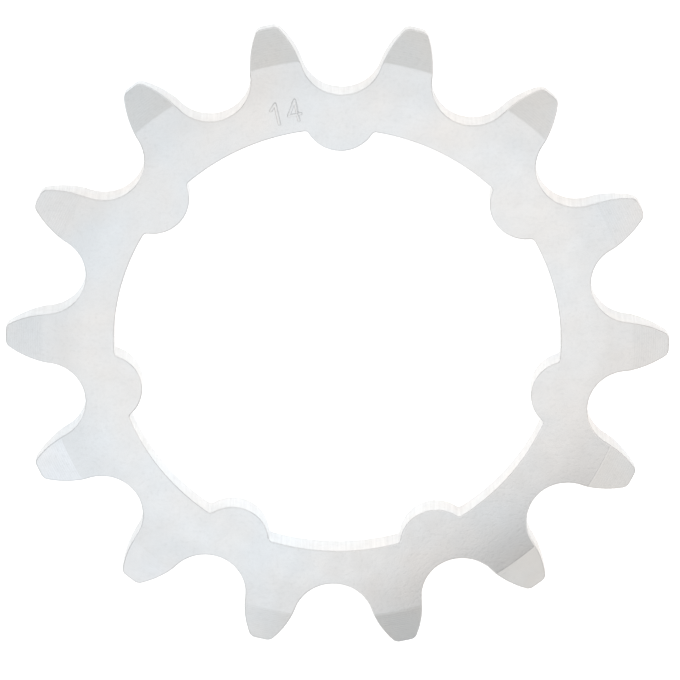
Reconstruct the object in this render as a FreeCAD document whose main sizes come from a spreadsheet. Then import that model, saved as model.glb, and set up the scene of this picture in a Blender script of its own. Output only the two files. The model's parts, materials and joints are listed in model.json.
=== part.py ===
"""Single speed cog for a half-inch pitch roller chain, made as one piece from steel plate.

The cog is a flat ring. Round its outside are the chain teeth: each gap between two teeth is a seat
for one chain roller, with two flanks that curve away from the seat to blunt tips. The tips are
bevelled on a lathe from both faces, so that the chain finds the teeth. Inside the ring, half-round
lugs reach into the bore and key the cog to the splined carrier that it slides onto. A small chamfer
breaks all the edges.

The cog lies flat: its axis is Z, its back face is on z = 0 and its front face is one plate
thickness above it. The middle of one tooth gap and the middle of one lug are on +Y.
"""
import FreeCAD, Part
import math
import os

import Sketcher

# The driving dimensions, in millimetres, degrees or plain counts, with what each one is.
SIZES = {
    "tooth_count": (14, "chain teeth round the cog"),
    "chain_pitch": (12.7, "distance between the centres of neighbouring rollers"),
    "seat_diameter": (7.75, "round roller seat at the bottom of a tooth gap"),
    "seat_angle": (142.0, "angle of the seat's arc, from flank to flank"),
    "flank_radius": (9.2, "convex flank from the seat to the tip"),
    "tip_rise": (3.05, "height of the tooth tips above the pitch circle"),
    "tip_corner_radius": (0.8, "rounding where the flanks meet the tip"),
    "plate_thickness": (2.8, "plate, from face to face"),
    "tip_thickness": (1.1, "plate left between the bevels at the tip"),
    "bevel_width": (3.5, "bevel at the tooth tips, measured along the radius"),
    "bevel_blend_radius": (0.8, "rounding where a bevel meets its face"),
    "web_width": (3.45, "ring between the bore and the bottoms of the tooth gaps"),
    "lug_count": (7, "half-round lugs in the bore"),
    "lug_diameter": (7.0, "round end of a lug"),
    "lug_reach": (2.15, "how far a lug stands in from the bore"),
    "lug_root_radius": (0.4, "rounding where a lug meets the bore"),
    "edge_break": (0.15, "small chamfer along the edges of both faces"),
}

# Radii and depths that follow from the dimensions, as formulas on the sheet.
PITCH_RADIUS = "(sizes.chain_pitch / 2 / sin(180 deg / sizes.tooth_count))"
TIP_RADIUS = f"({PITCH_RADIUS} + sizes.tip_rise)"
MOUTH_RADIUS = f"({TIP_RADIUS} + sizes.tip_rise / 4)"
BEVEL_RADIUS = f"({TIP_RADIUS} - sizes.bevel_width)"
BEVEL_DROP = "((sizes.plate_thickness - sizes.tip_thickness) / 2)"
BORE_RADIUS = f"({PITCH_RADIUS} - sizes.seat_diameter / 2 - sizes.web_width)"
LUG_CENTRE_RADIUS = f"({BORE_RADIUS} - sizes.lug_reach + sizes.lug_diameter / 2)"
SEAT_WIDTH = "(sizes.seat_diameter * sin(sizes.seat_angle * 1 deg / 2))"

# How a sketch numbers its origin, its two axes and the points of a line or arc.
ORIGIN = (-1, 1)
LEVEL_AXIS = -1
UPRIGHT_AXIS = -2
START = 1
END = 2
CENTRE = 3

# Two radii closer than this are the same, and a direction this close to upright is upright.
TOLERANCE = 1e-4


class Radii:
    """The same radii as numbers: where sketches start, and where edges are looked for."""

    def __init__(self, sheet):
        self.pitch = sheet.chain_pitch / 2 / math.sin(math.pi / sheet.tooth_count)
        self.seat = sheet.seat_diameter / 2
        self.tip = self.pitch + sheet.tip_rise
        self.mouth = self.tip + sheet.tip_rise / 4
        self.bevel = self.tip - sheet.bevel_width
        self.bore = self.pitch - self.seat - sheet.web_width
        self.lug_centre = self.bore - sheet.lug_reach + sheet.lug_diameter / 2


def write_sheet(document):
    """Write the driving dimensions to a sheet, a row each, and return the sheet."""
    sheet = document.addObject("Spreadsheet::Sheet", "sizes")
    for row, (name, (value, meaning)) in enumerate(SIZES.items(), start=1):
        sheet.set(f"A{row}", meaning)
        sheet.set(f"B{row}", str(value))
        sheet.setAlias(f"B{row}", name)
    document.recompute()
    return sheet


def origin_feature(body, role):
    """The body's own origin plane or axis that has this role."""
    return next(item for item in body.Origin.OriginFeatures if item.Role == role)


def new_sketch(body, name, plane_role):
    """Add a sketch to the body, on one of its origin planes."""
    sketch = body.newObject("Sketcher::SketchObject", name)
    sketch.AttachmentSupport = [(origin_feature(body, plane_role), "")]
    sketch.MapMode = "FlatFace"
    return sketch


def relate(sketch, kind, *places):
    """Tie parts of the sketch together by a geometric rule, such as Tangent."""
    sketch.addConstraint(Sketcher.Constraint(kind, *places))


def dimension(sketch, name, formula, kind, *places):
    """Add a named dimension to the sketch and drive it by a formula on the sheet."""
    number = sketch.addConstraint(Sketcher.Constraint(kind, *places))
    sketch.renameConstraint(number, name)
    sketch.setExpression(f"Constraints.{name}", formula)


def line(first, last):
    """A sketch line between two points."""
    return Part.LineSegment(FreeCAD.Vector(*first, 0), FreeCAD.Vector(*last, 0))


def circle(centre, radius):
    """A sketch circle."""
    return Part.Circle(FreeCAD.Vector(*centre, 0), FreeCAD.Vector(0, 0, 1), radius)


def arc(centre, radius, first_angle, last_angle):
    """A sketch arc that runs anticlockwise between two angles in radians."""
    return Part.ArcOfCircle(circle(centre, radius), first_angle, last_angle)


def repeat_round_axis(body, feature, name, count):
    """Repeat a feature evenly round the Z axis, as often as the named count says."""
    pattern = body.newObject("PartDesign::PolarPattern", name)
    pattern.Originals = [feature]
    pattern.Axis = (origin_feature(body, "Z_Axis"), [""])
    pattern.Angle = 360
    pattern.setExpression("Occurrences", f"sizes.{count}")
    body.Tip = pattern
    body.Document.recompute()
    return pattern


def chosen_edges(shape, wanted):
    """The names of those edges of the shape that the test wants."""
    return [f"Edge{number}" for number, edge in enumerate(shape.Edges, start=1) if wanted(shape, edge)]


def round_edges(body, base, name, size, wanted):
    """Fillet the wanted edges of the base feature by the named size."""
    fillet = body.newObject("PartDesign::Fillet", name)
    fillet.Base = (base, chosen_edges(base.Shape, wanted))
    fillet.setExpression("Radius", f"sizes.{size}")
    body.Document.recompute()
    return fillet


def break_edges(body, base, name, size, wanted):
    """Chamfer the wanted edges of the base feature by the named size."""
    chamfer = body.newObject("PartDesign::Chamfer", name)
    chamfer.Base = (base, chosen_edges(base.Shape, wanted))
    chamfer.setExpression("Size", f"sizes.{size}")
    body.Document.recompute()
    return chamfer


def distance_from_axis(edge):
    """How far an end of the edge is from the Z axis."""
    point = edge.Vertexes[0].Point
    return math.hypot(point.x, point.y)


def is_upright(edge):
    """True for a straight edge along Z."""
    return isinstance(edge.Curve, Part.Line) and abs(edge.Curve.Direction.z) > 1 - TOLERANCE


def is_wall(face):
    """True for a face that stands upright: a flank, a seat, a tip, the bore or a lug."""
    first_u, last_u, first_v, last_v = face.ParameterRange
    normal = face.normalAt((first_u + last_u) / 2, (first_v + last_v) / 2)
    return abs(normal.z) < TOLERANCE


def turned_ring(body, sheet, radii):
    """Turn the ring: flat faces from the bore outwards, then a bevel on each side to the tips."""
    top = sheet.plate_thickness
    drop = (top - sheet.tip_thickness) / 2
    corners = [
        (radii.bore, 0),
        (radii.bevel, 0),
        (radii.tip, drop),
        (radii.tip, top - drop),
        (radii.bevel, top),
        (radii.bore, top),
    ]
    sketch = new_sketch(body, "ring_section", "XZ_Plane")
    for number, corner in enumerate(corners):
        sketch.addGeometry(line(corner, corners[(number + 1) % len(corners)]))
    for number in range(len(corners)):
        relate(sketch, "Coincident", number, END, (number + 1) % len(corners), START)
    back, back_bevel, tip, front_bevel, front, bore = range(len(corners))
    relate(sketch, "PointOnObject", back, START, LEVEL_AXIS)
    relate(sketch, "Horizontal", back)
    relate(sketch, "Horizontal", front)
    relate(sketch, "Vertical", bore)
    relate(sketch, "Vertical", tip)
    relate(sketch, "Vertical", back, END, front, START)
    dimension(sketch, "bore_radius", BORE_RADIUS, "DistanceX", *ORIGIN, back, START, radii.bore)
    dimension(sketch, "bevel_radius", BEVEL_RADIUS, "DistanceX", *ORIGIN, back, END, radii.bevel)
    dimension(sketch, "tip_radius", TIP_RADIUS, "DistanceX", *ORIGIN, tip, START, radii.tip)
    dimension(sketch, "thickness", "sizes.plate_thickness", "DistanceY", bore, END, bore, START, top)
    dimension(sketch, "back_drop", BEVEL_DROP, "DistanceY", back_bevel, START, back_bevel, END, drop)
    dimension(sketch, "front_drop", BEVEL_DROP, "DistanceY", front_bevel, START, front_bevel, END, drop)

    ring = body.newObject("PartDesign::Revolution", "ring")
    ring.Profile = sketch
    ring.ReferenceAxis = (sketch, ["V_Axis"])
    ring.Angle = 360
    body.Document.recompute()

    def starts_bevel(shape, edge):
        return isinstance(edge.Curve, Part.Circle) and abs(edge.Curve.Radius - radii.bevel) < TOLERANCE

    return round_edges(body, ring, "bevel_blends", "bevel_blend_radius", starts_bevel)


def bore_lugs(body, sheet, radii):
    """Add the half-round lugs in the bore, and round the corners where they meet it."""
    centre = (0, radii.lug_centre)
    sketch = new_sketch(body, "lug_outline", "XY_Plane")
    lug_end = sketch.addGeometry(circle(centre, sheet.lug_diameter / 2))
    relate(sketch, "PointOnObject", lug_end, CENTRE, UPRIGHT_AXIS)
    dimension(sketch, "centre_radius", LUG_CENTRE_RADIUS, "DistanceY", *ORIGIN, lug_end, CENTRE, centre[1])
    dimension(sketch, "lug_diameter", "sizes.lug_diameter", "Diameter", lug_end, sheet.lug_diameter)

    lug = body.newObject("PartDesign::Pad", "lug")
    lug.Profile = sketch
    lug.setExpression("Length", "sizes.plate_thickness")
    body.Document.recompute()
    lugs = repeat_round_axis(body, lug, "lugs", "lug_count")

    def meets_bore(shape, edge):
        return is_upright(edge) and abs(distance_from_axis(edge) - radii.bore) < TOLERANCE

    return round_edges(body, lugs, "lug_roots", "lug_root_radius", meets_bore)


def tooth_gaps(body, sheet, radii):
    """Cut the tooth gaps, each a roller seat and two flanks, and round the corners of the tips."""
    half_angle = math.radians(sheet.seat_angle / 2)
    centre_distance = radii.seat + sheet.flank_radius
    flank_x = centre_distance * math.sin(half_angle)
    flank_y = radii.pitch - centre_distance * math.cos(half_angle)
    seat_end = math.pi / 2 + half_angle

    # The flank's outer end is where its circle meets the mouth's, by the cosine rule.
    axis_distance = math.hypot(flank_x, flank_y)
    cosine = (axis_distance**2 + sheet.flank_radius**2 - radii.mouth**2) / (
        2 * axis_distance * sheet.flank_radius
    )
    outer_end = math.atan2(flank_y, flank_x) + math.pi - math.acos(cosine)
    mouth_x = flank_x + sheet.flank_radius * math.cos(outer_end)
    mouth_y = flank_y + sheet.flank_radius * math.sin(outer_end)
    mouth_start = math.atan2(mouth_y, mouth_x)

    sketch = new_sketch(body, "gap_outline", "XY_Plane")
    seat_arc = arc((0, radii.pitch), radii.seat, 1.5 * math.pi - half_angle, 1.5 * math.pi + half_angle)
    right_arc = arc((flank_x, flank_y), sheet.flank_radius, outer_end, seat_end)
    left_arc = arc((-flank_x, flank_y), sheet.flank_radius, math.pi - seat_end, math.pi - outer_end)
    mouth_arc = arc((0, 0), radii.mouth, mouth_start, math.pi - mouth_start)
    outline = [seat_arc, right_arc, left_arc, mouth_arc]
    seat, right, left, mouth = (sketch.addGeometry(item) for item in outline)
    relate(sketch, "PointOnObject", seat, CENTRE, UPRIGHT_AXIS)
    relate(sketch, "Horizontal", seat, START, seat, END)
    relate(sketch, "Tangent", seat, END, right, END)
    relate(sketch, "Tangent", seat, START, left, START)
    relate(sketch, "Equal", right, left)
    relate(sketch, "Coincident", mouth, CENTRE, *ORIGIN)
    relate(sketch, "Coincident", right, START, mouth, START)
    relate(sketch, "Coincident", left, END, mouth, END)
    seat_width = sheet.seat_diameter * math.sin(half_angle)
    dimension(sketch, "pitch_radius", PITCH_RADIUS, "DistanceY", *ORIGIN, seat, CENTRE, radii.pitch)
    dimension(sketch, "seat_radius", "sizes.seat_diameter / 2", "Radius", seat, radii.seat)
    dimension(sketch, "seat_width", SEAT_WIDTH, "DistanceX", seat, START, seat, END, seat_width)
    dimension(sketch, "flank_radius", "sizes.flank_radius", "Radius", right, sheet.flank_radius)
    dimension(sketch, "mouth_radius", MOUTH_RADIUS, "Radius", mouth, radii.mouth)

    gap = body.newObject("PartDesign::Pocket", "gap")
    gap.Profile = sketch
    gap.Reversed = True
    gap.setExpression("Length", "sizes.plate_thickness")
    body.Document.recompute()
    gaps = repeat_round_axis(body, gap, "gaps", "tooth_count")

    def is_tip_corner(shape, edge):
        return is_upright(edge) and distance_from_axis(edge) > radii.pitch

    return round_edges(body, gaps, "tip_corners", "tip_corner_radius", is_tip_corner)


def broken_edges(body, base):
    """Chamfer every edge between a wall and a face or bevel."""

    def borders_wall(shape, edge):
        walls = [is_wall(face) for face in shape.ancestorsOfType(edge, Part.Face)]
        return any(walls) and not all(walls)

    return break_edges(body, base, "edges", "edge_break", borders_wall)


def check(document, body, grows, shrinks):
    """Stop if a feature failed, did nothing or went the wrong way, or the body isn't one solid."""
    for item in document.Objects:
        if "Invalid" in item.State or "Error" in item.State:
            raise RuntimeError(f"{item.Label} failed: {item.State}")
    for feature in grows:
        if feature.Shape.Volume <= feature.BaseFeature.Shape.Volume:
            raise RuntimeError(f"{feature.Label} added nothing")
    for feature in shrinks:
        if feature.Shape.Volume >= feature.BaseFeature.Shape.Volume:
            raise RuntimeError(f"{feature.Label} cut nothing")
    if body.Shape.isNull() or not body.Shape.isValid() or len(body.Shape.Solids) != 1:
        raise RuntimeError(f"{body.Label} is not one valid solid")


def main():
    """Build the cog, check it and write its solid."""
    document = FreeCAD.newDocument("single_speed_cog")
    sheet = write_sheet(document)
    radii = Radii(sheet)
    cog = document.addObject("PartDesign::Body", "cog")
    blends = turned_ring(cog, sheet, radii)
    lug_roots = bore_lugs(cog, sheet, radii)
    tip_corners = tooth_gaps(cog, sheet, radii)
    edges = broken_edges(cog, tip_corners)
    lugs = lug_roots.BaseFeature
    gaps = tip_corners.BaseFeature
    check(document, cog, grows=[lugs, lug_roots], shrinks=[blends, gaps, tip_corners, edges])

    os.makedirs("parts", exist_ok=True)
    cog.Shape.exportStep(f"parts/{cog.Label}.step")
    print(f"{cog.Label}: {cog.Shape.Volume:.1f} cubic mm, {len(cog.Shape.Faces)} faces")


main()
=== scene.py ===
"""Single speed cog, dressed as satin nickel-plated steel on a white light table.

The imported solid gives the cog's place and main sizes. The plate is modelled again round those
sizes with rounded edges and its tooth count stamped into the web, and then gets its finish.
Sizes in the classes are millimetres unless they say otherwise, and the meshes are in metres.
"""
import json
import logging
import math
from dataclasses import dataclass
from enum import Enum
from typing import Any

import bmesh
import bpy
from mathutils import Matrix, Vector


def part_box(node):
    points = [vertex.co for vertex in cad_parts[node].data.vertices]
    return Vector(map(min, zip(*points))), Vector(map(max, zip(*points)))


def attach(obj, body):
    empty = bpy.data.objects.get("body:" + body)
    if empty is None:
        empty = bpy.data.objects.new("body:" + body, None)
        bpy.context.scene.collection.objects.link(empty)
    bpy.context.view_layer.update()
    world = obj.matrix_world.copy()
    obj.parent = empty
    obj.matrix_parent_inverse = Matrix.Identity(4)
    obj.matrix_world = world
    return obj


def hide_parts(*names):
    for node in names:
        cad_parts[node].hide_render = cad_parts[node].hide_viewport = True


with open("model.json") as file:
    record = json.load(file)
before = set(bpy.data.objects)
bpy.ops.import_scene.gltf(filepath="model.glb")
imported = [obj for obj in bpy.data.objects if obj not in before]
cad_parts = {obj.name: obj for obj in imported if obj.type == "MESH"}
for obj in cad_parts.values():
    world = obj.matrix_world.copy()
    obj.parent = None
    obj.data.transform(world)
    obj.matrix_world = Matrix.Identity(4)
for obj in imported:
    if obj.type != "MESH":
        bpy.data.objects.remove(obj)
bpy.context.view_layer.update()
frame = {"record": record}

MM = 0.001
ORIGIN = Vector((0.0, 0.0, 0.0))
UP = Vector((0.0, 0.0, 1.0))
# Points closer than this are one, in millimetres: on the plate, and where they match exactly.
WELD = 1e-3
FINE_WELD = 1e-4
# Sockets of the Mix node in its colour mode, where several share one name.
MIX_A, MIX_B, MIX_RESULT = 6, 7, 2

log = logging.getLogger("single_speed_cog")


def linear(colour: str) -> tuple[float, float, float, float]:
    """Turn an sRGB hex colour into linear light.

    Args:
        colour: Six hex digits after a hash sign.

    Returns:
        Red, green and blue from 0 to 1, and an alpha of 1.
    """
    parts = [int(colour[place : place + 2], 16) / 255 for place in (1, 3, 5)]
    light = [part / 12.92 if part <= 0.04045 else ((part + 0.055) / 1.055) ** 2.4 for part in parts]
    return (*light, 1.0)


def add_node(
    tree: bpy.types.NodeTree,
    kind: str,
    inputs: dict[str | int, Any] | None = None,
    **settings: Any,
) -> bpy.types.Node:
    """Add a node to a tree with its settings and links.

    Args:
        tree: The node tree that gets the node.
        kind: Blender's name for the kind of node.
        inputs: What each input takes, by name or number: an output to link, or a plain value.
        settings: The node's own properties.

    Returns:
        The new node.
    """
    node = tree.nodes.new(kind)
    for name, value in settings.items():
        setattr(node, name, value)
    for key, value in (inputs or {}).items():
        if isinstance(value, bpy.types.NodeSocket):
            tree.links.new(value, node.inputs[key])
        else:
            node.inputs[key].default_value = value
    return node


def weighted_sum(
    tree: bpy.types.NodeTree, start: float, *terms: tuple[bpy.types.NodeSocket, float]
) -> bpy.types.NodeSocket:
    """Add weighted values to a starting value.

    Args:
        tree: The node tree that gets the sum.
        start: The starting value.
        terms: Each value with its weight.

    Returns:
        The sum.
    """
    total = start
    for value, weight in terms:
        step = add_node(tree, "ShaderNodeMath", {0: value, 1: weight, 2: total}, operation="MULTIPLY_ADD")
        total = step.outputs["Value"]
    return total


def product(
    tree: bpy.types.NodeTree, first: bpy.types.NodeSocket, second: bpy.types.NodeSocket
) -> bpy.types.NodeSocket:
    """Multiply two values.

    Args:
        tree: The node tree that gets the product.
        first: One value.
        second: The other.

    Returns:
        The product.
    """
    return add_node(tree, "ShaderNodeMath", {0: first, 1: second}, operation="MULTIPLY").outputs["Value"]


def add_object(mesh: bmesh.types.BMesh, name: str) -> bpy.types.Object:
    """Make a finished bmesh an object of the scene.

    Args:
        mesh: The bmesh, which is freed.
        name: What the object and its mesh are called.

    Returns:
        The object.
    """
    data = bpy.data.meshes.new(name)
    mesh.to_mesh(data)
    mesh.free()
    item = bpy.data.objects.new(name, data)
    bpy.context.scene.collection.objects.link(item)
    return item


def circles_meet(first: Vector, first_radius: float, second: Vector, second_radius: float) -> Vector:
    """Find where two circles in the XY plane cross.

    Args:
        first: Centre of the first circle.
        first_radius: Its radius.
        second: Centre of the second circle.
        second_radius: Its radius.

    Returns:
        The crossing on the left of the way from the first centre to the second.
    """
    way = second - first
    along = (way.length_squared + first_radius**2 - second_radius**2) / (2 * way.length)
    across = math.sqrt(first_radius**2 - along**2)
    return first + along * way.normalized() + across * UP.cross(way).normalized()


@dataclass(frozen=True)
class PlatedSteel:
    """Nickel plating over stamped and tumbled steel.

    It gives the eye a pale, satin mirror: soft clouds of cool grey and warm, fine pits and tumbling
    scratches, rings from the lathe on the bevels and shear lines down the walls. Its colour also carries a
    painted reflection tint, cool on the left and warm on the right. Sizes and heights are millimetres,
    as on the real plate.
    """

    name: str = "nickel_plated_steel"
    cool: str = "#F1F4F8"
    warm: str = "#F8F4F2"
    cloud_size: float = 9.0
    mottle_size: float = 1.6
    pit_size: float = 0.35
    scratch_length: float = 4.0
    scratch_width: float = 0.08
    scratch_turns: tuple[float, ...] = (0.5, 1.9)
    ring_spacing: float = 0.22
    ring_fade: float = 0.05
    shear_spacing: float = 0.18
    shear_length: float = 7.2
    # Radii between which the colour gets darker, out towards the teeth.
    darkening_start_radius: float = 24.0
    darkening_full_radius: float = 26.0
    roughness: float = 0.17
    # How much warmer the plate gets over a metre to the right: a painted reflection tint, as of the bluish
    # boxes on the left and the warm box on the right.
    painted_reflection_lean: float = 8.0
    # Heights of a unit normal at which a surface starts to count as a wall, and fully does.
    wall_start: float = 0.8
    wall_full: float = 0.3

    def material(self, bevel_radius: float) -> bpy.types.Material:
        """Build the finish.

        Args:
            bevel_radius: Where the turned bevels start, from the axis.

        Returns:
            The material.
        """
        material = bpy.data.materials.new(self.name)
        material.use_nodes = True
        tree = material.node_tree
        tree.nodes.clear()
        spot = add_node(tree, "ShaderNodeTexCoord").outputs["Object"]
        across = add_node(tree, "ShaderNodeSeparateXYZ", {"Vector": spot}).outputs["X"]

        clouds = self.pattern(tree, spot, (self.cloud_size,) * 3, 0.3, 0.7)
        mottle = self.pattern(tree, spot, (self.mottle_size,) * 3, 0.35, 0.65)
        pits = self.pattern(tree, spot, (self.pit_size,) * 3, 0.5, 0.75)
        stroke = (self.scratch_length, self.scratch_width, self.scratch_width)
        scratches = weighted_sum(
            tree,
            0.0,
            *((self.pattern(tree, spot, stroke, 0.6, 0.72, turn), 1.0) for turn in self.scratch_turns),
        )
        outer_darkening = self.beyond(tree, spot, self.darkening_start_radius, self.darkening_full_radius)
        on_bevels = self.beyond(tree, spot, bevel_radius, bevel_radius + self.ring_fade)
        rings = product(tree, self.rings(tree, spot), on_bevels)
        wall = self.wall_share(tree)
        shear_size = (self.shear_spacing, self.shear_spacing, self.shear_length)
        shear_lines = product(tree, self.pattern(tree, spot, shear_size, 0.35, 0.65), wall)

        # Tint: the clouds vary it at random, and the lean across X paints a reflection tint, cooler on the
        # left and warmer on the right.
        warmth = weighted_sum(tree, 0.0, (clouds, 1.0), (across, self.painted_reflection_lean))
        tint = add_node(
            tree,
            "ShaderNodeMix",
            {"Factor": warmth, MIX_A: linear(self.cool), MIX_B: linear(self.warm)},
            data_type="RGBA",
        )
        tone = weighted_sum(
            tree,
            1.0,
            (clouds, -0.02),
            (mottle, -0.02),
            (pits, -0.04),
            (scratches, 0.02),
            # Darker out towards the teeth.
            (outer_darkening, -0.05),
            (rings, -0.02),
            # Walls 10% darker: partly their duller sheared finish, partly painted shade so that they stand
            # apart from the bright table.
            (wall, -0.10),
            (shear_lines, -0.06),
        )
        colour = add_node(
            tree,
            "ShaderNodeMix",
            {"Factor": 1.0, MIX_A: tint.outputs[MIX_RESULT], MIX_B: tone},
            data_type="RGBA",
            blend_type="MULTIPLY",
        )
        roughness = weighted_sum(
            tree, self.roughness, (mottle, 0.03), (scratches, 0.02), (rings, 0.04), (wall, 0.25)
        )
        height = weighted_sum(
            tree,
            0.0,
            (pits, -0.001 * MM),
            (scratches, -0.0003 * MM),
            (rings, 0.001 * MM),
            (shear_lines, 0.002 * MM),
        )
        bump = add_node(tree, "ShaderNodeBump", {"Height": height, "Strength": 1.0, "Distance": 1.0})
        shader = add_node(
            tree,
            "ShaderNodeBsdfPrincipled",
            {
                "Base Color": colour.outputs[MIX_RESULT],
                "Metallic": 1.0,
                "Roughness": roughness,
                "Normal": bump.outputs["Normal"],
            },
        )
        add_node(tree, "ShaderNodeOutputMaterial", {"Surface": shader.outputs["BSDF"]})
        return material

    @staticmethod
    def pattern(
        tree: bpy.types.NodeTree,
        spot: bpy.types.NodeSocket,
        size: tuple[float, float, float],
        low: float,
        high: float,
        turn: float = 0.0,
    ) -> bpy.types.NodeSocket:
        """Make a noise with grains of a real size.

        Args:
            tree: The node tree that gets the pattern.
            spot: Where on the object the pattern is read.
            size: Length of a grain along each axis.
            low: Level of the noise that counts as 0.
            high: Level that counts as 1.
            turn: Angle in radians by which the grains are turned round Z.

        Returns:
            The pattern, from 0 to 1.
        """
        placed = add_node(
            tree,
            "ShaderNodeMapping",
            {"Vector": spot, "Rotation": (0.0, 0.0, turn), "Scale": Vector(size) * MM},
            vector_type="TEXTURE",
        )
        noise = add_node(
            tree, "ShaderNodeTexNoise", {"Vector": placed.outputs["Vector"], "Scale": 1.0, "Detail": 3.0}
        )
        levels = add_node(
            tree, "ShaderNodeMapRange", {"Value": noise.outputs["Fac"], "From Min": low, "From Max": high}
        )
        return levels.outputs["Result"]

    @staticmethod
    def beyond(
        tree: bpy.types.NodeTree, spot: bpy.types.NodeSocket, start: float, full: float
    ) -> bpy.types.NodeSocket:
        """Find how far a spot lies outside a circle round the axis.

        Args:
            tree: The node tree that gets the share.
            spot: Where on the object the share is read.
            start: Radius up to which the share is 0.
            full: Radius from which it is 1.

        Returns:
            The share.
        """
        flat = add_node(
            tree, "ShaderNodeVectorMath", {0: spot, 1: (1.0, 1.0, 0.0)}, operation="MULTIPLY"
        )
        radius = add_node(tree, "ShaderNodeVectorMath", {0: flat.outputs["Vector"]}, operation="LENGTH")
        share = add_node(
            tree,
            "ShaderNodeMapRange",
            {"Value": radius.outputs["Value"], "From Min": start * MM, "From Max": full * MM},
        )
        return share.outputs["Result"]

    def rings(self, tree: bpy.types.NodeTree, spot: bpy.types.NodeSocket) -> bpy.types.NodeSocket:
        """Make fine grooves round the axis, as the lathe leaves them.

        Args:
            tree: The node tree that gets the rings.
            spot: Where on the object the rings are read.

        Returns:
            The rings, from 0 to 1.
        """
        waves_per_unit = 20 / math.tau
        rings = add_node(
            tree,
            "ShaderNodeTexWave",
            {"Vector": spot, "Scale": 1 / (waves_per_unit * self.ring_spacing * MM)},
            wave_type="RINGS",
            rings_direction="Z",
        )
        return rings.outputs["Fac"]

    def wall_share(self, tree: bpy.types.NodeTree) -> bpy.types.NodeSocket:
        """Find how upright the surface stands.

        Args:
            tree: The node tree that gets the share.

        Returns:
            The share, 1 on a wall and 0 on a face or bevel.
        """
        normal = add_node(tree, "ShaderNodeNewGeometry").outputs["Normal"]
        split = add_node(tree, "ShaderNodeSeparateXYZ", {"Vector": normal})
        steepness = add_node(tree, "ShaderNodeMath", {0: split.outputs["Z"]}, operation="ABSOLUTE")
        share = add_node(
            tree,
            "ShaderNodeMapRange",
            {
                "Value": steepness.outputs["Value"],
                "From Min": self.wall_start,
                "From Max": self.wall_full,
            },
        )
        return share.outputs["Result"]


@dataclass(frozen=True)
class LightTable:
    """Matt white acrylic, lit from below, that gives a plain white ground with no hard shadow."""

    name: str = "white_acrylic"
    colour: str = "#F7F7F6"
    glow: float = 0.68
    roughness: float = 0.6
    half_width: float = 3000.0

    def build(self) -> bpy.types.Object:
        """Lay the table under the cog.

        Returns:
            The table.
        """
        mesh = bmesh.new()
        bmesh.ops.create_grid(mesh, x_segments=1, y_segments=1, size=self.half_width * MM)
        table = add_object(mesh, "light_table")
        material = bpy.data.materials.new(self.name)
        material.use_nodes = True
        shader = material.node_tree.nodes["Principled BSDF"]
        shader.inputs["Base Color"].default_value = linear(self.colour)
        shader.inputs["Roughness"].default_value = self.roughness
        shader.inputs["Emission Color"].default_value = linear(self.colour)
        shader.inputs["Emission Strength"].default_value = self.glow
        table.data.materials.append(material)
        return table


class ArcPen:
    """Draws a line of edges in the XY plane of a bmesh, arc by arc."""

    def __init__(self, mesh: bmesh.types.BMesh, start: bmesh.types.BMVert) -> None:
        """Put the pen down on a vertex.

        Args:
            mesh: The mesh that gets the line.
            start: Where the line starts.
        """
        self.mesh = mesh
        self.point = start

    def arc(self, centre: Vector, towards: Vector, steps: int) -> list[bmesh.types.BMEdge]:
        """Carry the line on round a centre, the short way.

        Args:
            centre: Centre of the arc.
            towards: A point in the direction, seen from the centre, where the arc ends.
            steps: Into how many edges the arc is divided.

        Returns:
            The new edges.
        """
        known = set(self.mesh.edges)
        angle = (towards - centre).xy.angle_signed((self.point.co - centre).xy)
        made = bmesh.ops.spin(
            self.mesh, geom=[self.point], cent=centre, axis=UP, angle=angle, steps=steps
        )
        self.point = made["geom_last"][0]
        return [edge for edge in self.mesh.edges if edge not in known]


class Numeral(Enum):
    """Strokes of a stamped numeral, each from point to point in shares of its width and height."""

    ONE = (((0.10, 0.72), (0.55, 1.00)), ((0.55, 1.00), (0.55, 0.00)))
    FOUR = (
        ((0.74, 0.00), (0.74, 1.00)),
        ((0.74, 1.00), (0.00, 0.30)),
        ((0.00, 0.30), (1.00, 0.30)),
    )


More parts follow.
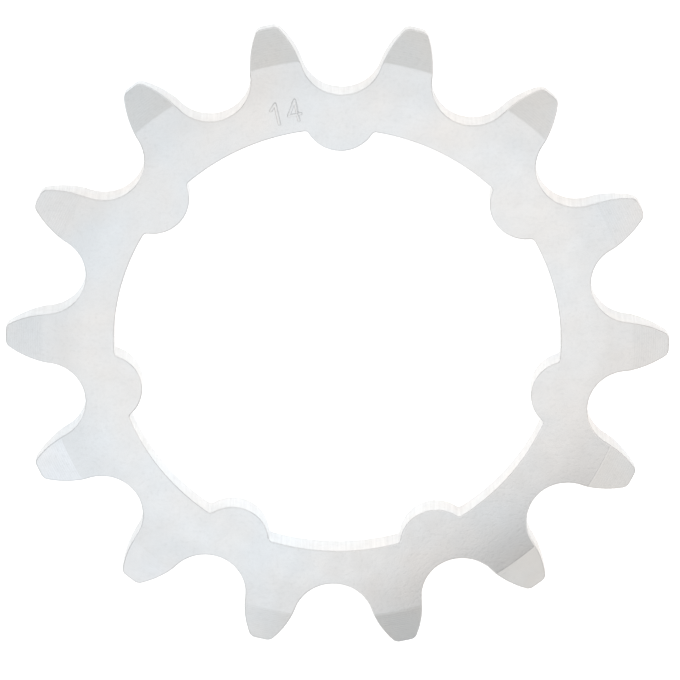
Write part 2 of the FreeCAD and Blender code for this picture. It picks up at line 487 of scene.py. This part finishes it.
@dataclass
class ToothCountStamp:
    """The plain tooth count, stamped into the web as shallow round-bottomed grooves."""

    numerals: tuple[Numeral, ...]
    foot_radius: float
    turn: float
    face_height: float
    height: float = 2.0
    width: float = 1.15
    spacing: float = 0.5
    punch_radius: float = 0.2
    depth: float = 0.08
    end_steps: int = 6
    round_steps: int = 22

    def cutter(self) -> bpy.types.Object:
        """Model the punch as one round-ended bar for each stroke.

        Returns:
            The punch, in place over the face, in millimetres.
        """
        mesh = bmesh.new()
        line_width = len(self.numerals) * (self.width + self.spacing) - self.spacing
        for place, numeral in enumerate(self.numerals):
            left = place * (self.width + self.spacing) - line_width / 2
            for ends in numeral.value:
                first, last = (
                    Vector((left + x * self.width, self.foot_radius + y * self.height, 0)) for x, y in ends
                )
                self.bar(mesh, first, last)
        bmesh.ops.translate(
            mesh, verts=mesh.verts, vec=UP * (self.face_height + self.punch_radius - self.depth)
        )
        bmesh.ops.rotate(mesh, verts=mesh.verts, cent=ORIGIN, matrix=Matrix.Rotation(self.turn, 3, "Z"))
        return add_object(mesh, "punch")

    def bar(self, mesh: bmesh.types.BMesh, first: Vector, last: Vector) -> None:
        """Add a round bar with round ends, made of short cones end to end.

        Args:
            mesh: The mesh that gets the bar.
            first: Centre of the one end.
            last: Centre of the other.
        """
        way = last - first
        place = Matrix.Translation(first) @ way.to_track_quat("Z", "Y").to_matrix().to_4x4()
        known = set(mesh.verts)
        angles = [math.pi / 2 * step / self.end_steps for step in range(self.end_steps + 1)]
        first_end = [(-math.cos(angle), math.sin(angle)) for angle in angles]
        reach = way.length / self.punch_radius
        last_end = [(reach + math.sin(angle), math.cos(angle)) for angle in angles]
        profile = [Vector(point) * self.punch_radius for point in first_end + last_end]
        for low, high in zip(profile, profile[1:]):
            bmesh.ops.create_cone(
                mesh,
                segments=self.round_steps,
                radius1=low.y,
                radius2=high.y,
                depth=high.x - low.x,
                matrix=place @ Matrix.Translation(UP * (low.x + high.x) / 2),
            )
        bar = [vertex for vertex in mesh.verts if vertex not in known]
        bmesh.ops.remove_doubles(mesh, verts=bar, dist=FINE_WELD)


@dataclass
class CogPlate:
    """The toothed plate: chain teeth with bevelled tips outside, half-round lugs in the bore."""

    finish: PlatedSteel
    thickness: float
    tip_radius: float
    pitch_radius: float
    seat_radius: float
    bore_radius: float
    tooth_count: int = 14
    lug_count: int = 7
    seat_angle: float = 142.0
    flank_radius: float = 9.2
    tip_corner_radius: float = 0.8
    tip_thickness: float = 1.1
    bevel_width: float = 3.5
    bevel_blend: float = 0.1
    lug_radius: float = 3.5
    lug_reach: float = 2.15
    lug_root_radius: float = 0.4
    edge_radius: float = 0.15
    stamp_margin: float = 1.2
    sharp_angle: float = 30.0
    edge_steps: int = 4
    seat_steps: int = 16
    flank_steps: int = 4
    upper_flank_steps: int = 8
    corner_steps: int = 5
    tip_steps: int = 3
    lug_steps: int = 8
    root_steps: int = 6

    @classmethod
    def from_frame(cls, finish: PlatedSteel) -> "CogPlate":
        """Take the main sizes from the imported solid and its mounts.

        Args:
            finish: The plate's finish.

        Returns:
            The plate, ready to build.
        """
        lowest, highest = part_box("cog")
        mounts = {mount["name"]: mount for mount in frame["record"]["mounts"]}
        return cls(
            finish=finish,
            thickness=(highest.z - lowest.z) / MM,
            tip_radius=highest.x / MM,
            pitch_radius=mounts["chain_seat"]["pos_m"][1] / MM,
            seat_radius=mounts["chain_seat"]["dims"]["r_mm"],
            bore_radius=mounts["lugged_bore"]["dims"]["r_mm"],
        )

    @property
    def half_pitch(self) -> float:
        """The angle from the middle of a tooth gap to the middle of a tooth."""
        return math.pi / self.tooth_count

    @property
    def bevel_radius(self) -> float:
        """Where the bevels start, from the axis."""
        return self.tip_radius - self.bevel_width

    def build(self) -> bpy.types.Object:
        """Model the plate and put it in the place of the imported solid.

        Returns:
            The plate.
        """
        mesh = self.face_sheet()
        self.thicken(mesh)
        self.round_edges(mesh)
        plate = add_object(mesh, "cog_plate")
        self.stamp(plate)
        self.settle_normals(plate)
        plate.data.transform(Matrix.Scale(MM, 4))
        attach(plate, "root")
        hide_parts("cog")
        return plate

    def face_sheet(self) -> bmesh.types.BMesh:
        """Lay out the whole face as a flat sheet of quads, from one tooth and half a lug.

        Returns:
            The sheet, with one tooth gap and one lug on +Y.
        """
        mesh = bmesh.new()
        outside = self.tooth(mesh)
        inside = self.half_lug(mesh, len(outside))
        bmesh.ops.bridge_loops(mesh, edges=outside + inside)
        bmesh.ops.mirror(mesh, geom=self.everything(mesh), matrix=Matrix(), merge_dist=FINE_WELD, axis="X")
        bmesh.ops.spin(
            mesh,
            geom=self.everything(mesh),
            cent=ORIGIN,
            axis=UP,
            angle=math.tau * (self.lug_count - 1) / self.lug_count,
            steps=self.lug_count - 1,
            use_duplicate=True,
        )
        bmesh.ops.remove_doubles(mesh, verts=mesh.verts, dist=WELD)
        return mesh

    @staticmethod
    def everything(mesh: bmesh.types.BMesh) -> list[Any]:
        """All the vertices, edges and faces of a mesh."""
        return mesh.verts[:] + mesh.edges[:] + mesh.faces[:]

    def tooth(self, mesh: bmesh.types.BMesh) -> list[bmesh.types.BMEdge]:
        """Draw a tooth from gap to gap and fill it down to the start of the bevel.

        Args:
            mesh: The sheet that gets the tooth.

        Returns:
            The edges that bound the tooth and its gaps towards the bore.
        """
        half_seat = math.radians(self.seat_angle / 2)
        seat = Vector((0, self.pitch_radius, 0))
        out_of_seat = Vector((math.sin(half_seat), -math.cos(half_seat), 0))
        flank = seat + (self.seat_radius + self.flank_radius) * out_of_seat
        corner = circles_meet(
            ORIGIN,
            self.tip_radius - self.tip_corner_radius,
            flank,
            self.flank_radius - self.tip_corner_radius,
        )
        blend_radii = (self.bevel_radius - self.bevel_blend, self.bevel_radius + self.bevel_blend)
        blend_start, blend_end = (
            circles_meet(ORIGIN, radius, flank, self.flank_radius) for radius in blend_radii
        )
        tooth_middle = Vector((math.sin(self.half_pitch), math.cos(self.half_pitch), 0))

        pen = ArcPen(mesh, mesh.verts.new((0, self.pitch_radius - self.seat_radius, 0)))
        pen.arc(seat, flank, self.seat_steps)
        pen.arc(flank, blend_start, self.flank_steps)
        ArcPen(mesh, pen.point).arc(ORIGIN, tooth_middle, self.tip_steps)
        pen.arc(flank, blend_end, 1)
        ArcPen(mesh, pen.point).arc(ORIGIN, tooth_middle, self.tip_steps)
        pen.arc(flank, corner, self.upper_flank_steps)
        shoulder = pen.point.co.length
        ArcPen(mesh, pen.point).arc(ORIGIN, tooth_middle, self.tip_steps)
        pen.arc(corner, 2 * corner, self.corner_steps)
        pen.arc(ORIGIN, tooth_middle, self.tip_steps)

        turn = Matrix.Rotation(self.half_pitch, 4, "Z")
        bmesh.ops.mirror(mesh, geom=self.everything(mesh), matrix=turn, merge_dist=-1, axis="X")
        bmesh.ops.remove_doubles(mesh, verts=mesh.verts, dist=WELD)
        lines = [self.edges_between(mesh, radius, radius) for radius in (*blend_radii, shoulder)]
        bmesh.ops.grid_fill(mesh, edges=lines[0] + lines[1])
        bmesh.ops.grid_fill(mesh, edges=lines[1] + lines[2])
        bmesh.ops.edgeloop_fill(mesh, edges=self.edges_between(mesh, shoulder, self.tip_radius))
        return self.edges_between(mesh, 0, blend_radii[0])

    @staticmethod
    def edges_between(
        mesh: bmesh.types.BMesh, nearest: float, furthest: float
    ) -> list[bmesh.types.BMEdge]:
        """The edges whose two ends are between two distances from the axis.

        Args:
            mesh: The mesh to look in.
            nearest: The smaller distance.
            furthest: The larger distance.

        Returns:
            The edges.
        """
        return [
            edge
            for edge in mesh.edges
            if all(nearest - WELD < vertex.co.xy.length < furthest + WELD for vertex in edge.verts)
        ]

    def half_lug(self, mesh: bmesh.types.BMesh, edge_count: int) -> list[bmesh.types.BMEdge]:
        """Draw half a lug and the bore from it to the next gap without one.

        Args:
            mesh: The sheet that gets the line.
            edge_count: How many edges the line has.

        Returns:
            The edges of the line.
        """
        lug = Vector((0, self.bore_radius - self.lug_reach + self.lug_radius, 0))
        root = circles_meet(
            lug,
            self.lug_radius + self.lug_root_radius,
            ORIGIN,
            self.bore_radius - self.lug_root_radius,
        )
        next_gap = Vector((math.sin(2 * self.half_pitch), math.cos(2 * self.half_pitch), 0))
        pen = ArcPen(mesh, mesh.verts.new((0, self.bore_radius - self.lug_reach, 0)))
        return [
            *pen.arc(lug, root, self.lug_steps),
            *pen.arc(root, 2 * root, self.root_steps),
            *pen.arc(ORIGIN, next_gap, edge_count - self.lug_steps - self.root_steps),
        ]

    def bevel_drop(self, radius: float) -> float:
        """How far the bevel has come down from its face at a distance from the axis."""
        share = max(0.0, (radius - self.bevel_radius) / self.bevel_width)
        return share * (self.thickness - self.tip_thickness) / 2

    def thicken(self, mesh: bmesh.types.BMesh) -> None:
        """Pull the front face off the flat sheet, and bring the tips down on both sides.

        Args:
            mesh: The sheet, which becomes a closed solid.
        """
        pulled = bmesh.ops.extrude_face_region(mesh, geom=mesh.faces[:])
        front = {item for item in pulled["geom"] if isinstance(item, bmesh.types.BMVert)}
        for vertex in mesh.verts:
            drop = self.bevel_drop(vertex.co.xy.length)
            vertex.co.z = self.thickness - drop if vertex in front else drop
        bmesh.ops.recalc_face_normals(mesh, faces=mesh.faces)

    def round_edges(self, mesh: bmesh.types.BMesh) -> None:
        """Round every edge between a wall and a face.

        Args:
            mesh: The closed solid.
        """
        def is_wall(face: bmesh.types.BMFace) -> bool:
            """True for a face that stands steeper than it lies."""
            return abs(face.normal.z) < face.normal.xy.length

        rims = [edge for edge in mesh.edges if len({is_wall(face) for face in edge.link_faces}) == 2]
        for face in mesh.faces:
            face.smooth = True
        bmesh.ops.bevel(
            mesh,
            geom=rims,
            offset=self.edge_radius,
            affect="EDGES",
            segments=self.edge_steps,
            profile=0.5,
            material=-1,
        )

    def stamp(self, plate: bpy.types.Object) -> None:
        """Stamp the tooth count under the tooth to the left of +Y.

        Args:
            plate: The plate, in millimetres.
        """
        punch = ToothCountStamp(
            numerals=(Numeral.ONE, Numeral.FOUR),
            foot_radius=self.bore_radius + self.stamp_margin,
            turn=self.half_pitch,
            face_height=self.thickness,
        ).cutter()
        cut = plate.modifiers.new("stamped_number", "BOOLEAN")
        cut.operation = "DIFFERENCE"
        cut.object = punch
        cut.solver = "EXACT"
        cut.use_self = True
        self.apply_modifiers(plate)
        bpy.data.objects.remove(punch)
        mesh = bmesh.new()
        mesh.from_mesh(plate.data)
        bmesh.ops.remove_doubles(mesh, verts=mesh.verts, dist=WELD)
        bmesh.ops.dissolve_degenerate(mesh, edges=mesh.edges, dist=WELD)
        bmesh.ops.recalc_face_normals(mesh, faces=mesh.faces)
        for edge in mesh.edges:
            edge.smooth = edge.calc_face_angle() < math.radians(self.sharp_angle)
        mesh.to_mesh(plate.data)
        mesh.free()

    def settle_normals(self, plate: bpy.types.Object) -> None:
        """Let the largest face at each point decide its normal, so that flat faces look flat.

        The modifier takes the tiny areas of a mesh in metres for nothing, so this comes before.

        Args:
            plate: The plate, in millimetres.
        """
        normals = plate.modifiers.new("even_normals", "WEIGHTED_NORMAL")
        normals.weight = 100
        normals.keep_sharp = True
        self.apply_modifiers(plate)

    @staticmethod
    def apply_modifiers(plate: bpy.types.Object) -> None:
        """Make what the plate's modifiers show its own mesh."""
        graph = bpy.context.evaluated_depsgraph_get()
        shown = bpy.data.meshes.new_from_object(plate.evaluated_get(graph))
        plate.modifiers.clear()
        before, plate.data = plate.data, shown
        bpy.data.meshes.remove(before)
        shown.name = "cog_plate"

    def dress(self, plate: bpy.types.Object) -> None:
        """Give the plate its finish."""
        plate.data.materials.clear()
        plate.data.materials.append(self.finish.material(self.bevel_radius))


@dataclass(frozen=True)
class SoftBox:
    """A rectangular studio light with a white front, hung in a direction from the cog."""

    name: str
    direction: tuple[float, float, float]
    distance: float
    width: float
    height: float
    radiance: float
    colour: str = "#FFFFFF"
    roll: float = 0.0

    def hang(self) -> bpy.types.Object:
        """Hang the light, facing the cog.

        Returns:
            The light.
        """
        light = bpy.data.lights.new(self.name, "AREA")
        light.shape = "RECTANGLE"
        light.size = self.width * MM
        light.size_y = self.height * MM
        light.color = linear(self.colour)[:3]
        light.energy = self.radiance * math.pi * light.size * light.size_y
        box = bpy.data.objects.new(self.name, light)
        bpy.context.scene.collection.objects.link(box)
        towards = Vector(self.direction).normalized()
        box.location = towards * self.distance * MM
        facing = towards.to_track_quat("Z", "Y").to_matrix()
        rolled = Matrix.Rotation(math.radians(self.roll), 3, "Z")
        box.rotation_euler = (facing @ rolled).to_euler()
        box.visible_camera = False
        return box


@dataclass(frozen=True)
class BlackNet:
    """A black net hung level over the table, which softly shades one corner of the faces.

    Along its middle line it is as close as its weave says, in pairs of how far along the net and
    what share of the light it holds back there, and it thins out to nothing at its sides.
    Each end has a middle, and a way from there to its right side.
    """

    near_middle: tuple[float, float]
    near_side: tuple[float, float]
    far_middle: tuple[float, float]
    far_side: tuple[float, float]
    height: float
    weave: tuple[tuple[float, float], ...] = (
        (0.0, 0.0),
        (0.1, 0.75),
        (0.15, 0.75),
        (0.23, 0.35),
        (0.70, 0.20),
        (0.76, 0.57),
        (1.0, 0.57),
    )
    name: str = "black_net"
    colour: str = "#101010"

    def hang(self) -> bpy.types.Object:
        """Hang the net.

        Returns:
            The net, out of the camera's sight.
        """
        mesh = bmesh.new()
        cover = mesh.verts.layers.float.new("cover")
        rows = [self.row(mesh, share) for share, _ in self.weave]
        for row, (_, closeness) in zip(rows, self.weave):
            row[1][cover] = closeness
        for near, far in zip(rows, rows[1:]):
            for side in (0, 1):
                mesh.faces.new((near[side], far[side], far[side + 1], near[side + 1]))
        net = add_object(mesh, self.name)
        net.data.materials.append(self.material())
        net.visible_camera = False
        net.visible_diffuse = False
        net.visible_shadow = False
        return net

    def row(self, mesh: bmesh.types.BMesh, share: float) -> list[bmesh.types.BMVert]:
        """Add a row of three vertices across the net.

        Args:
            mesh: The mesh that gets the row.
            share: How far along the net the row is, from 0 at the near end to 1 at the far end.

        Returns:
            The vertices at the left side, the middle and the right side.
        """
        middle = Vector(self.near_middle).lerp(Vector(self.far_middle), share).to_3d()
        side = Vector(self.near_side).lerp(Vector(self.far_side), share).to_3d()
        return [mesh.verts.new((middle + step * side + UP * self.height) * MM) for step in (-1, 0, 1)]

    def material(self) -> bpy.types.Material:
        """Build the net's threads as a black that lets light by where the net is thin.

        Returns:
            The material.
        """
        material = bpy.data.materials.new(self.name)
        material.use_nodes = True
        tree = material.node_tree
        tree.nodes.clear()
        cover = add_node(tree, "ShaderNodeAttribute", attribute_name="cover")
        gaps = add_node(tree, "ShaderNodeBsdfTransparent")
        threads = add_node(tree, "ShaderNodeBsdfDiffuse", {"Color": linear(self.colour)})
        net = add_node(
            tree,
            "ShaderNodeMixShader",
            {0: cover.outputs["Fac"], 1: gaps.outputs["BSDF"], 2: threads.outputs["BSDF"]},
        )
        add_node(tree, "ShaderNodeOutputMaterial", {"Surface": net.outputs["Shader"]})
        return material


@dataclass(frozen=True)
class Studio:
    """The lights round the table: a pale dome, soft boxes and a net that holds light back.

    The dome is darker along the horizon, so that upright and grazing surfaces show their shape.
    """

    boxes: tuple[SoftBox, ...]
    net: BlackNet
    zenith: str = "#DFE0DE"
    horizon: str = "#76787A"
    band_top: float = 0.6

    def build(self) -> None:
        """Hang the boxes and the net, and light the dome."""
        for box in self.boxes:
            box.hang()
        self.net.hang()
        world = bpy.data.worlds.new("studio_dome")
        world.use_nodes = True
        tree = world.node_tree
        tree.nodes.clear()
        place = add_node(tree, "ShaderNodeTexCoord")
        split = add_node(tree, "ShaderNodeSeparateXYZ", {"Vector": place.outputs["Generated"]})
        height = add_node(
            tree,
            "ShaderNodeMapRange",
            {"Value": split.outputs["Z"], "From Min": 0.0, "From Max": self.band_top},
            interpolation_type="SMOOTHSTEP",
        )
        shade = add_node(
            tree,
            "ShaderNodeMix",
            {"Factor": height.outputs["Result"], MIX_A: linear(self.horizon), MIX_B: linear(self.zenith)},
            data_type="RGBA",
        )
        glow = add_node(tree, "ShaderNodeBackground", {"Color": shade.outputs[MIX_RESULT]})
        add_node(tree, "ShaderNodeOutputWorld", {"Surface": glow.outputs["Background"]})
        bpy.context.scene.world = world
        bpy.context.scene.view_settings.view_transform = "Standard"


@dataclass(frozen=True)
class PhotoCamera:
    """A long lens that looks down on the cog from the +Y side, as the picture does."""

    face_height: float
    tilt: float = 19.383
    turn: float = 0.069
    roll: float = -0.83
    across: float = -0.2522
    along: float = -0.271
    distance: float = 590.68
    lens: float = 329.2

    def place(self) -> bpy.types.Object:
        """Set the camera up and make it the scene's.

        Returns:
            The camera.
        """
        turned = (
            Matrix.Rotation(math.radians(self.roll), 3, "Z")
            @ Matrix.Rotation(math.radians(self.turn), 3, "Y")
            @ Matrix.Rotation(math.radians(self.tilt), 3, "X")
        )
        data = bpy.data.cameras.new("photo_camera")
        data.lens = self.lens
        camera = bpy.data.objects.new("photo_camera", data)
        bpy.context.scene.collection.objects.link(camera)
        back = turned.transposed()
        spot = UP * self.face_height - back @ Vector((self.across, self.along, -self.distance))
        camera.matrix_world = Matrix.Translation(spot * MM) @ back.to_4x4()
        bpy.context.scene.camera = camera
        return camera


def main() -> None:
    """Build the cog, its stage and its camera, and report each piece."""
    logging.basicConfig(level=logging.INFO, format="%(name)s: %(message)s")
    cog = CogPlate.from_frame(PlatedSteel())
    plate = cog.build()
    cog.dress(plate)
    log.info("%s has %d faces", plate.name, len(plate.data.polygons))
    LightTable().build()
    Studio(
        # Each box: its name, direction, distance, width, height, radiance and colour.
        boxes=(
            SoftBox("front_box", (0.02, -0.268, 0.963), 600, 880, 410, 0.143, "#F0F5FF"),
            SoftBox("left_fill", (-0.36, -0.645, 0.675), 600, 340, 220, 0.26, "#F2F6FF"),
            SoftBox("right_fill", (0.36, -0.645, 0.675), 600, 340, 220, 0.055),
            SoftBox("diagonal_strip", (0.0, -0.332, 0.943), 580, 70, 440, 0.085, roll=-45),
            SoftBox("back_box", (0.0, 0.79, 0.61), 600, 1000, 560, 0.22),
            SoftBox("left_box", (-0.85, 0.0, 0.53), 600, 260, 600, 0.20, "#F2F6FF"),
            SoftBox("right_box", (0.85, 0.0, 0.53), 600, 260, 600, 0.24, "#FFF4EE"),
        ),
        net=BlackNet(
            near_middle=(25, -52), near_side=(30, 21.6), far_middle=(27, -190), far_side=(24, 0), height=110
        ),
    ).build()
    PhotoCamera(face_height=cog.thickness).place()


if __name__ == "__main__":
    main()
